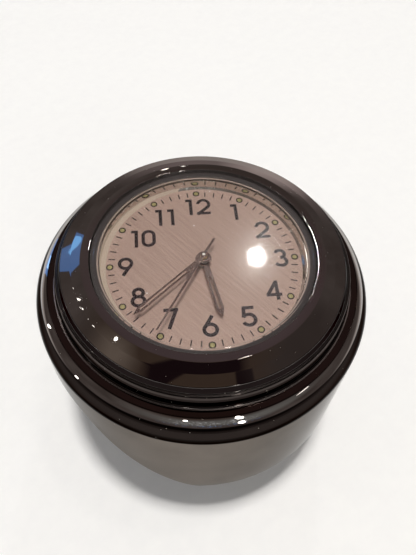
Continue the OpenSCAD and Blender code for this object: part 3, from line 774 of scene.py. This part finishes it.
def screw(name, node, body, side):
    """Socket head cap screw with a knurled head and a real thread."""
    y = side * screw_y
    at = Matrix.Translation((0, y, 0))
    head_top = ear_under - WASHER_T
    head_low = low(node).z
    tip = high(node).z
    shank_r = SCREW_R - 0.02

    def head(bm):
        edge = 0.3
        count = KNURLS * 6
        rows = []
        for inset, z in ((edge, head_low), (0, head_low + edge), (0, head_top - 0.1), (0.1, head_top)):
            ring = []
            for i in range(count):
                a = 2 * pi * i / count
                dip = KNURL_DEPTH * (1 - abs(cos(KNURLS * a / 2))) if inset == 0 else 0
                r = HEAD_R - inset - dip
                ring.append(bm.verts.new(around(r, a, z, y)))
            rows.append(ring)
        sweep(bm, rows)

    corner_r = SOCKET_HALF / cos(pi / 6)
    socket = block(arc(0, 0, corner_r, corner_r, 0, 300, 5), head_low - 1, head_low + SOCKET_DEPTH, at)
    dish = cylinder(DISH_R, head_low - 0.5, head_low + 0.12, (0, y), 48)
    bm = carved(head, cut=[dish, socket])
    plain_top = head_top + PLAIN
    turned(bm, rectangle(0, shank_r, head_top, plain_top), 48, at)
    thread(bm, y, shank_r, plain_top, int((tip - plain_top) / PITCH) - 1)
    finish_mesh(name, bm, as_drawn, body, screw_metal, [node])


screw("screw_left_threaded", "clamp_screw_left", "screw_left", 1)
screw("screw_right_threaded", "clamp_screw_right", "screw_right", -1)


def spring_washers():
    """Two split rings whose ends stand a little apart in height."""
    bm = bmesh.new()
    r_out, r_in = 3.45, 2.15
    z0, z1 = ear_under - WASHER_T, ear_under - 0.1
    edge = 0.08
    gap = 0.3 / r_out
    spring = 0.1
    steps = 60
    section = rounded([(r_in, z0, edge), (r_out, z0, edge), (r_out, z1, edge), (r_in, z1, edge)], 2)
    for side in (-1, 1):
        rows = []
        for k in range(steps + 1):
            a = side * pi / 2 + gap + (2 * pi - 2 * gap) * k / steps
            lift = spring * (k / steps)
            rows.append([bm.verts.new(around(p.x, a, p.y + lift, side * screw_y)) for p in section])
        sweep(bm, rows)
    finish_mesh("spring_washers", bm, as_drawn, "clamp", washer_metal, ["clamp_washers"])


spring_washers()


# Insert: shell, glass and seals

BEVEL = 0.45        # bevel of the glass


def ring_piece(name, paint, nodes, outline, body="insert", segments=240):
    bm = bmesh.new()
    turned(bm, outline, segments)
    finish_mesh(name, bm, on_dial, body, paint, nodes)


top = high("bezel").z - dial_h
base = ledge_z - dial_h
neck_z = high("insert_case").z - dial_h
slope_r = bezel_r - 1.1
slope_z = top - SLOPE_DROP
seat_z = low("crystal").z - dial_h
glass_top = high("crystal").z - dial_h
gasket_z = seat_z - 0.3
sleeve_r = glass_r - 0.6
bezel_foot_r = bezel_r + 0.38

# From the glass over the flat top, down the slope, the step and the wall to the foot, and back inside
ring_piece("bezel_ring", bezel_chrome, ["bezel"], rounded([
    (glass_r + 0.1, gasket_z, 0.03), (glass_r + 0.1, top, 0.1), (glass_r + 1.25, top, 0.16),
    (glass_r + 2.6, top - 0.41, 5.0), (slope_r, slope_z, 0.1), (slope_r + 0.42, slope_z - 0.82, 0.12),
    (slope_r + 0.85, slope_z - 1.0, 0.45), (bezel_r, slope_z - 1.8, 0.8),
    (bezel_r, base + 0.32, 0.35), (bezel_foot_r, base + 0.1, 0.08), (bezel_foot_r, base, 0.03),
    (neck_r + 0.02, base, 0.03), (neck_r + 0.02, neck_z, 0.03),
    (sleeve_r, neck_z, 0.03), (sleeve_r, gasket_z, 0.03),
], 6), segments=288)

ring_piece("watch_glass", glass, ["crystal"], rounded([
    (0, seat_z, 0), (glass_r, seat_z, 0.04), (glass_r, glass_top - BEVEL, 0.05),
    (glass_r - 1.3 * BEVEL, glass_top, 0.08), (0, glass_top, 0),
], 3))

edge_r = show_r + 0.12
ring_piece("glass_gasket", grey_gasket, ["crystal_gasket"], rounded([
    (edge_r + 0.22, gasket_z, 0.05), (glass_r, gasket_z, 0.05), (glass_r, seat_z, 0.05),
    (edge_r + 0.22, seat_z, 0.04),
], 3))

wall_top = gasket_z - 0.28
wall_r = show_r + 0.55
ring_piece("dial_wall", bright_chrome, ["dial_ring"], rounded([
    (show_r - 0.3, FACE_Z, 0.02), (glass_r + 0.5, FACE_Z, 0.03), (glass_r + 0.5, neck_z - 0.05, 0.05),
    (wall_r, neck_z - 0.05, 0.05), (wall_r, wall_top, 0.02), (show_r, wall_top, 0.04),
    (show_r, FACE_Z + 0.34, 0.05), (show_r - 0.3, FACE_Z + 0.03, 0.02),
], 4))

ring_piece("dial_wall_edge", cream, [], rounded([
    (edge_r, gasket_z - 0.08, 0.03), (sleeve_r, gasket_z - 0.08, 0.02),
    (edge_r + 0.3, gasket_z + 0.06, 0.03), (edge_r, gasket_z + 0.06, 0.06),
], 4))

cord_r = (high("o_ring").z - low("o_ring").z) / 2
cord_c = high("o_ring").x - cord_r
cord_z = high("o_ring").z - cord_r - dial_h
cord_outline = arc(cord_c, cord_z, cord_r, cord_r, 0, 360, 32)[:-1]
ring_piece("seal_ring", rubber, ["o_ring"], cord_outline, body="seal")


# Dial, hour dots and print

INK_T = 0.02
PLATE_LOW = -0.4    # underside of the dial's plate
dot_r = glass_r - 2.42


def dial_face():
    bm = bmesh.new()
    dial_r = show_r + 0.2
    plate = [(0.9, PLATE_LOW, 0.02), (dial_r, PLATE_LOW, 0.05), (dial_r, FACE_Z, 0.05), (0.9, FACE_Z, 0.02)]
    turned(bm, rounded(plate, 2), 240)
    for a in (radians(120), radians(-60)):
        turned(bm, rectangle(0, 0.35, -2.3, PLATE_LOW), 24, Matrix.Translation(around(11.5, a, 0)))
    finish_mesh("dial_face", bm, on_dial, "insert", dial_paint, ["dial"])


def hour_dots():
    bm = bmesh.new()
    dome = [(0, 0), (0.35, 0), (0.35, 0.025), (0.31, 0.05), (0.22, 0.066), (0.12, 0.074), (0, 0.076)]
    for hour in range(12):
        place = Matrix.Rotation(radians(30 * hour), 4, "Z") @ Matrix.Translation((0, dot_r, FACE_Z))
        turned(bm, dome, 32, place)
    finish_mesh("hour_dots", bm, on_dial, "insert", lume_paint, ["lume_dots"])


dial_face()
hour_dots()


def line(*parts):
    """A stroke of a numeral through points, and along an arc where a list of them is given."""
    points = []
    for part in parts:
        points += part if isinstance(part, list) else [Vector(part)]
    return "line", points


def oval(cy, rx, ry, steps):
    """A closed stroke of a numeral, all round an ellipse on the numeral's middle."""
    return "ring", arc(0, cy, rx, ry, 0, 360, steps)[:-1]


# Numerals by the middle lines of their strokes, from the middle of their foot
STROKE = 0.49
HEIGHT = 3.1
ink_half = STROKE / 2
cap = HEIGHT - ink_half
digits = {
    "0": [("ring", arc(0, cap - 0.74, 0.78, 0.74, 0, 180, 24)
           + arc(0, ink_half + 0.74, 0.78, 0.74, 180, 360, 24))],
    "1": [line((0.12, 0), (0.12, HEIGHT)), line((-0.62, cap + 0.02), (0.2, cap + 0.02))],
    "2": [line(arc(0, cap - 0.84, 0.84, 0.84, 172, -38, 26), (-0.98, 0.05)),
          line((-1.08, ink_half), (1.02, ink_half))],
    "3": [line(arc(-0.04, cap - 0.64, 0.68, 0.64, 158, -90, 26)),
          line(arc(-0.04, 0.91, 0.8, 0.7, 90, -158, 28))],
    "4": [line((0.42, 0), (0.42, HEIGHT)), line((-1.12, 0.84), (1.02, 0.84)),
          line((0.46, HEIGHT - 0.1), (-0.94, 0.84))],
    "5": [line((-0.78, cap), (0.8, cap)), line((-0.58, cap), (-0.66, 1.38)),
          line(arc(-0.02, 1.02, 0.86, 0.81, 150, -152, 30))],
    "6": [oval(1.02, 0.84, 0.81, 44), line((0.36, HEIGHT), (-0.72, 1.36))],
    "7": [line((-0.98, cap), (0.98, cap)), line((0.76, HEIGHT - 0.12), (-0.34, 0))],
    "8": [oval(cap - 0.61, 0.64, 0.61, 36), oval(0.94, 0.82, 0.73, 44)],
    "9": [oval(cap - 0.81, 0.84, 0.81, 44), line((0.72, 1.74), (-0.36, 0))],
}
# Middle of each numeral on the dial, its digits and their shifts
numerals = [
    (0.1, 10.4, "12", (-1.25, 0.82)), (5.4, 9.0, "1", (0.2,)), (9.2, 5.3, "2", (0,)), (11.05, 0.0, "3", (0,)),
    (9.2, -5.4, "4", (0,)), (5.2, -9.2, "5", (0,)), (0.0, -10.3, "6", (0,)), (-5.0, -8.8, "7", (0,)),
    (-9.2, -5.2, "8", (0,)), (-10.9, 0.0, "9", (0,)), (-8.4, 4.8, "10", (-1.05, 0.85)),
    (-5.1, 8.6, "11", (-0.7, 1.1)),
]


def ribbon(kind, points, x, y):
    """A function that draws one stroke of a numeral: a flat band of ink along its middle line."""
    closed = kind == "ring"
    count = len(points)

    def draw(bm):
        rows = []
        for i, p in enumerate(points):
            before = points[i - 1] if i or closed else p
            after = points[(i + 1) % count] if i < count - 1 or closed else p
            along = (after - before).normalized()
            across = Vector((-along.y, along.x)) * ink_half
            left, right = p + across, p - across
            corners = [(left, FACE_Z), (right, FACE_Z), (right, FACE_Z + INK_T), (left, FACE_Z + INK_T)]
            rows.append([bm.verts.new((x + q.x, y + q.y, z)) for q, z in corners])
        sweep(bm, rows, closed)

    return draw


def dial_print():
    """Numerals, minute ticks and the rims round the hour dots."""
    bm = bmesh.new()
    for x, y, signs, shifts in numerals:
        for sign, shift in zip(signs, shifts):
            strokes = [ribbon(kind, points, x + shift, y - HEIGHT / 2) for kind, points in digits[sign]]
            mesh = mesh_from("digit", carved(strokes[0], strokes[1:]))
            bm.from_mesh(mesh)
            bpy.data.meshes.remove(mesh)
    tick = rectangle(-0.08, 0.08, dot_r - 0.63, dot_r + 0.27)
    rim = rectangle(0.34, 0.51, 0, 2 * INK_T)
    for minute in range(60):
        turn = Matrix.Rotation(radians(6 * minute), 4, "Z")
        if minute % 5:
            prism(bm, tick, FACE_Z, FACE_Z + INK_T, turn)
        else:
            turned(bm, rim, 32, turn @ Matrix.Translation((0, dot_r, FACE_Z)))
    finish_mesh("dial_print", bm, on_dial, "insert", ink, [])


def painted_crescent():
    """A pale cream crescent laid on the dial at the ring's foot, widest at the dial's left: a painted highlight
    for light falling on the dial's edge there.
    """
    bm = bmesh.new()
    rows = []
    outer = show_r + 0.02
    low_z = FACE_Z - 0.02
    steps = 180
    for i in range(steps + 1):
        a = radians(100 + 160 * i / steps)
        inner = show_r - 0.28 - 0.40 * sin(pi * i / steps) ** 0.7
        section = [(inner, low_z), (inner, FACE_Z + 0.02), (outer, FACE_Z + 0.38), (outer, low_z)]
        rows.append([bm.verts.new(around(r, a, z)) for r, z in section])
    sweep(bm, rows)
    finish_mesh("dial_crescent_highlight", bm, on_dial, "insert", crescent_highlight_paint, [])


dial_print()
painted_crescent()


# Hands

BLADE_T = 0.15
NEEDLE_T = 0.12
TAIL = 3.3          # the second hand's tail


def hand(name, node, body, width, point, slot_w, slot_from, hub_r, collar_r, bore_r):
    """A pointed hand with an open slot, bevelled edges and its collar."""
    length, angle = reach(node)
    blade_z = high(node).z - dial_h - BLADE_T
    collar_z = low(node).z - dial_h
    shoulder = length - point
    turn = Matrix.Rotation(angle, 4, "Z")
    foot, side = width * 0.4, width / 2
    outline = [(-foot, 0), (foot, 0), (side, shoulder), (0, length), (-side, shoulder)]

    blade = block(outline, blade_z, blade_z + BLADE_T, turn)
    slot = rectangle(-slot_w / 2, slot_w / 2, slot_from, shoulder)
    hub = [cylinder(hub_r, blade_z, blade_z + BLADE_T), cylinder(collar_r, collar_z, blade_z + 0.1)]
    bore = cylinder(bore_r, blade_z - 2, blade_z + 2)
    bm = carved(blade, hub, [block(slot, blade_z - 1, blade_z + 1, turn), bore])
    piece = finish_mesh(name, bm, on_dial, body, hand_metal, [node])
    soften(piece, 0.045, 25)


hand("hour_hand_blade", "hour_hand", "hour", width=1.05, point=1.25, slot_w=0.36, slot_from=3.2,
     hub_r=1.15, collar_r=1.02, bore_r=0.8)
hand("minute_hand_blade", "minute_hand", "minute", width=0.82, point=1.2, slot_w=0.28, slot_from=3.4,
     hub_r=0.9, collar_r=0.75, bore_r=0.45)


def second_hand():
    length, angle = reach("second_hand")
    hub_z = low("second_hand").z - dial_h
    z = hub_z + 0.15
    top_z = high("second_hand").z - dial_h
    turn = Matrix.Rotation(angle, 4, "Z")
    outline = [(-0.16, -TAIL), (0.16, -TAIL), (0.2, 0), (0.11, length), (-0.11, length), (-0.2, 0)]

    hub = rounded([(0, hub_z, 0), (0.42, hub_z, 0.03), (0.42, top_z, 0.12), (0, top_z, 0)], 4)
    needle = block(outline, z, z + NEEDLE_T, turn)
    bm = carved(needle, [lathed(hub, 40)], [cylinder(0.2, z - 1, z + 0.02)])
    piece = finish_mesh("second_hand_needle", bm, on_dial, "second", hand_metal,
                        ["second_hand"])
    soften(piece, 0.03, 25)


second_hand()


# Case and its back, with the groove of the seal and the recess of the crown

GROOVE_DEPTH = 0.8
GROOVE_HALF = 0.65
BACK_RIM = 0.6      # wall of the case outside of its snap back's edge
RECESS_R = 1.55     # recess of the crown
RECESS_FROM = 16.65
STEM_HOLE_R = 1
NOTCH_HALF = 1.5    # notch for prising the back off


def case_shapes():
    depth = low("insert_case").z - dial_h
    cavity_r = glass_r + 0.1
    seat_r = cavity_r + 0.45
    back_r = cavity_r + BACK_RIM
    groove_r = case_r - GROOVE_DEPTH
    groove_top = cord_z + GROOVE_HALF
    groove_low = cord_z - GROOVE_HALF
    outline = rounded([
        (cavity_r, 0, 0.03), (seat_r, 0, 0.03), (seat_r, neck_z, 0.05), (neck_r, neck_z, 0.08),
        (neck_r, base, 0.05), (case_r, base, 0.12), (case_r, groove_top, 0.06),
        (groove_r, groove_top, 0.06), (groove_r, groove_low, 0.06), (case_r, groove_low, 0.06),
        (case_r, depth + 0.3, 0.1), (case_r - 0.3, depth, 0.1), (back_r, depth, 0.06),
        (back_r, depth + 0.8, 0.03), (cavity_r, depth + 0.8, 0.03),
    ], 3)
    stem_z = low("crown").z - dial_h + 1.45
    sideways = Matrix.Translation((0, 0, stem_z)) @ Matrix.Rotation(pi / 2, 4, "Y")

    recess = lathed(rectangle(0, RECESS_R, RECESS_FROM, case_r + 1), 48, sideways)
    hole = lathed(rectangle(0, STEM_HOLE_R, cavity_r - 1, RECESS_FROM + 0.35), 48, sideways)
    return carved(lathed(outline, 240), cut=[recess, hole])


finish_mesh("insert_shell", case_shapes(), on_dial, "insert", case_metal, ["insert_case"])


def back_shapes():
    depth = low("case_back").z - dial_h
    back_r = glass_r + 0.68
    inside = depth + high("case_back").z - low("case_back").z

    plate = rounded([
        (back_r, inside, 0.04), (back_r, depth, 0.12), (back_r - 1.6, depth, 0.1),
        (back_r - 1.75, depth + 0.1, 0.05), (back_r - 3.2, depth + 0.1, 0.05),
        (back_r - 3.35, depth, 0.1), (0, depth, 0), (0, inside, 0),
    ], 3)
    notch = rectangle(-NOTCH_HALF, NOTCH_HALF, -back_r - 1, -back_r + 0.58)
    return carved(lathed(plate, 240), cut=[block(notch, depth - 1, depth + 0.3)])


finish_mesh("snap_back", back_shapes(), on_dial, "insert", case_metal, ["case_back"])


# The photograph's camera, fitted to the dial, the bezel, the lip and the arch

CAMERA_AT = Vector((-26.3, -35.1, 83.3))
CAMERA_RIGHT = Vector((0.8154, -0.5781, 0.0301))
CAMERA_DOWN = Vector((-0.4625, -0.6819, -0.5667))
CAMERA_AHEAD = Vector((0.3481, 0.4482, -0.8234))
lens = bpy.data.cameras.new("photo_camera")
lens.sensor_width = 36.0
lens.lens = 34.13
lens.clip_start = 0.005
lens.clip_end = 20.0
camera = add_object("photo_camera", lens)
camera_turn = Matrix((CAMERA_RIGHT, -CAMERA_DOWN, -CAMERA_AHEAD)).transposed().to_4x4()
camera.matrix_world = Matrix.Translation(CAMERA_AT * MM) @ camera_turn
scene.camera = camera
scene.view_settings.view_transform = "Standard"


# Floor: plain pale paper

FLOOR_HALF = 3000.0
FLOOR_T = 5


def floor_material():
    paint, tree, where = new_material("paper_floor")
    fibre = noise(tree, where, 420, 5.0)
    tone = ramp(tree, fibre, [(0.3, (0.935, 0.95, 0.965)), (0.7, (0.965, 0.98, 0.99))])
    inputs = {"Color": tone, "Normal": bump(tree, fibre, 1e-5)}
    return surface(paint, put(tree, "BsdfDiffuse", inputs))


bm = bmesh.new()
prism(bm, rectangle(-FLOOR_HALF, FLOOR_HALF, -FLOOR_HALF, FLOOR_HALF), foot_z - FLOOR_T, foot_z - 0.01)
floor = finish_mesh("floor", bm, as_drawn, None, floor_material(), [])


# World: an even light for matt surfaces, and a dim warm room for camera, metal and glass

EVEN_LIGHT = 0.27   # part of a full white level that comes from all round
HORIZON = (0.56, 0.50, 0.47)
DARK_PATCH = (0.010, 0.005, 0.006)
BLACK = (0.0, 0.0, 0.0, 1.0)

world = bpy.data.worlds.new("room")
scene.world = world
world.use_nodes = True
sky = world.node_tree
sky.nodes.clear()
direction = put(sky, "TexCoord", output="Generated")
parts = put_node(sky, "SeparateXYZ", {"Vector": direction})
azimuth = math_node(sky, "DEGREES", math_node(sky, "ARCTAN2", parts.outputs["Y"], parts.outputs["X"]))
elevation = math_node(sky, "DEGREES", math_node(sky, "ARCSINE", parts.outputs["Z"]))


def paint_within(room, distances, soft, color):
    """Lay a colour over the room where both distances, in half extents of a patch, are under one."""
    masks = [span(sky, math_node(sky, "ABSOLUTE", d), 1 - soft, 1 + soft, 1.0, 0.0) for d in distances]
    return mix(sky, math_node(sky, "MULTIPLY", *masks), room, rgba(color))


def patch(room, where, wide, up, tall, color, soft):
    """Part of the room in one colour, by azimuth and elevation and their half extents in degrees."""
    distances = [
        math_node(sky, "DIVIDE", math_node(sky, "SUBTRACT", value, middle), extent)
        for value, middle, extent in ((azimuth, where, wide), (elevation, up, tall))
    ]
    return paint_within(room, distances, soft, color)


def overhead(room, middle, along, long_half, short_half, color, soft=0.12):
    """A rectangle on the ceiling, by its middle and its length's direction on a plane one unit above."""
    height = math_node(sky, "MAXIMUM", parts.outputs["Z"], 0.2)
    plane_x, plane_y = [
        math_node(sky, "SUBTRACT", math_node(sky, "DIVIDE", parts.outputs[axis], height), shift)
        for axis, shift in zip("XY", middle)
    ]
    distances = []
    for (a, b), extent in ((along, long_half), ((-along[1], along[0]), short_half)):
        ahead = math_node(sky, "MULTIPLY", plane_x, a)
        ahead = math_node(sky, "ADD", ahead, math_node(sky, "MULTIPLY", plane_y, b))
        distances.append(math_node(sky, "DIVIDE", ahead, extent))
    return paint_within(room, distances, soft, color)


walls = noise(sky, direction, 3.0, 4.0)
room = ramp(sky, walls, [(0.35, (0.052, 0.040, 0.036)), (0.65, (0.088, 0.072, 0.066))])
room = overhead(room, (0.0, 0.0), (1, 0), 0.62, 0.62, (0.050, 0.033, 0.024), 0.4)
for middle, long_half, short_half in (
        ((-0.133, -0.105), 0.318, 0.071), ((-0.337, -0.079), 0.13, 0.022), ((0.08, -0.39), 0.06, 0.07)):
    room = overhead(room, middle, (0.866, -0.5), long_half, short_half, DARK_PATCH)
for spot in (
        (-35, 34, 54, 14, (0.042, 0.032, 0.029), 0.5), (46, 24, 8, 7, (0.22, 0.175, 0.17), 0.5),
        (38, 8, 8, 6, (0.50, 0.41, 0.39), 0.6), (150, 14, 60, 6, (0.14, 0.11, 0.09), 0.6),
        (52, 30, 60, 9, (0.075, 0.053, 0.055), 0.5), (-110, 46, 40, 9, (0.15, 0.145, 0.137), 0.5)):
    room = patch(room, *spot)

# A bright sparkle on the near side, which the chrome mirrors
lace = patch(BLACK, -118, 22, 38, 8, (0.75, 0.78, 0.82), 0.4)
lace = patch(lace, -118, 22, 28, 3, (0.25, 0.50, 1.0), 0.5)
lace = mix(sky, span(sky, noise(sky, direction, 38, 4.0, 0.7), 0.56, 0.66), BLACK, lace)
room = mix(sky, 1.0, room, lace, blend="ADD")
room = mix(sky, span(sky, elevation, 0.0, 9.0, 1.0, 0.0), room, rgba(HORIZON))

shown = put(sky, "Background", {"Color": room})
even = put(sky, "Background", {"Color": (1.0, 0.97, 0.94, 1), "Strength": EVEN_LIGHT})
path = put_node(sky, "LightPath")
seen = math_node(sky, "MAXIMUM", path.outputs["Is Camera Ray"], path.outputs["Is Glossy Ray"])
seen = math_node(sky, "MAXIMUM", seen, path.outputs["Is Transmission Ray"])
both = put(sky, "MixShader", {"Fac": seen, 1: even, 2: shown})
put_node(sky, "OutputWorld", {"Surface": both})


# Lamps

LAMP_LIGHT = 0.70   # part of a full white level that comes from the ceiling lamp
CEILING_HALF = 3.2
WARM = (1.0, 0.96, 0.90)
WARMER = (1.0, 0.95, 0.90)


def lamp(name, where, up, wide, tall, radiance, color, distance=0.8, shape="ELLIPSE"):
    """A lamp facing the dial, by azimuth, elevation and half sizes in degrees, and distance in metres."""
    toward = around(cos(radians(up)), radians(where), sin(radians(up)))
    data = bpy.data.lights.new(name, "AREA")
    data.shape = shape
    data.size = 2 * distance * tan(radians(wide))
    data.size_y = 2 * distance * tan(radians(tall))
    area = data.size * data.size_y * (pi / 4 if shape == "ELLIPSE" else 1)
    data.energy = radiance * area * pi
    data.color = color
    light = add_object(name, data)
    place = Vector((0, 0, dial_h * MM)) + toward * distance
    light.matrix_world = Matrix.Translation(place) @ (-toward).to_track_quat("-Z", "Y").to_matrix().to_4x4()
    light.visible_camera = False
    return light


ceiling_level = LAMP_LIGHT / sin(radians(CEILING_HALF)) ** 2
ceiling = lamp("ceiling_lamp", 0, 90, CEILING_HALF, CEILING_HALF, ceiling_level, (1.0, 0.96, 0.91), 1.2)
ceiling.visible_glossy = False
lamp("far_lamp", 42.3, 52.7, 0.9, 0.9, 120, (1.0, 0.96, 0.92), 0.5)
lamp("crest_lamp", -8, 77, 1.2, 2.2, 40, (1.0, 0.90, 0.82))
lamp("window", 107, 8, 7, 9, 1.0, (0.05, 0.22, 0.62), shape="RECTANGLE")
lamp("window_middle", 109, 10, 2.5, 5, 1.6, (0.35, 0.62, 1.0), shape="RECTANGLE")
lamp("window_top", 104, 31, 7, 6, 1.0, (0.04, 0.14, 0.37), shape="RECTANGLE")
lamp("window_top_middle", 101.5, 28.5, 4, 2.6, 1.0, (0.14, 0.40, 0.72))
for k, spot in enumerate((
        (117, 40, 0.3, 0.3, 5), (120.3, 44.6, 0.2, 0.8, 7), (124.4, 47.3, 0.2, 0.6, 5),
        (130, 50.3, 0.2, 0.3, 5), (134, 52.4, 0.3, 0.9, 5), (126.4, 44.8, 0.3, 0.3, 8),
        (141, 61.5, 0.5, 0.5, 11), (154, 49, 0.5, 0.5, 9)), 1):
    lamp("string_lamp_%d" % k, *spot, WARM)
lamp("top_lamp", 60, 42.5, 0.4, 0.3, 10, (1.0, 0.92, 0.82))
lamp("top_lamp_small", 57, 42.5, 0.2, 0.2, 9, WARMER)
lamp("near_lamp_high", -101, 47, 1.5, 5, 14, WARM)
lamp("near_lamp_low", -103, 29, 1.6, 4, 14, WARM)
lamp("near_lamp_left", -134, 46, 1.0, 2.5, 8, WARMER)
lamp("right_lamp", -62, 40, 3.5, 1.2, 2.0, (1.0, 0.92, 0.86))
lamp("left_lamp", 137, 13, 0.9, 6, 6, WARMER)
lamp("left_lamp_low", 166, 10, 1.2, 3.5, 7, WARMER)
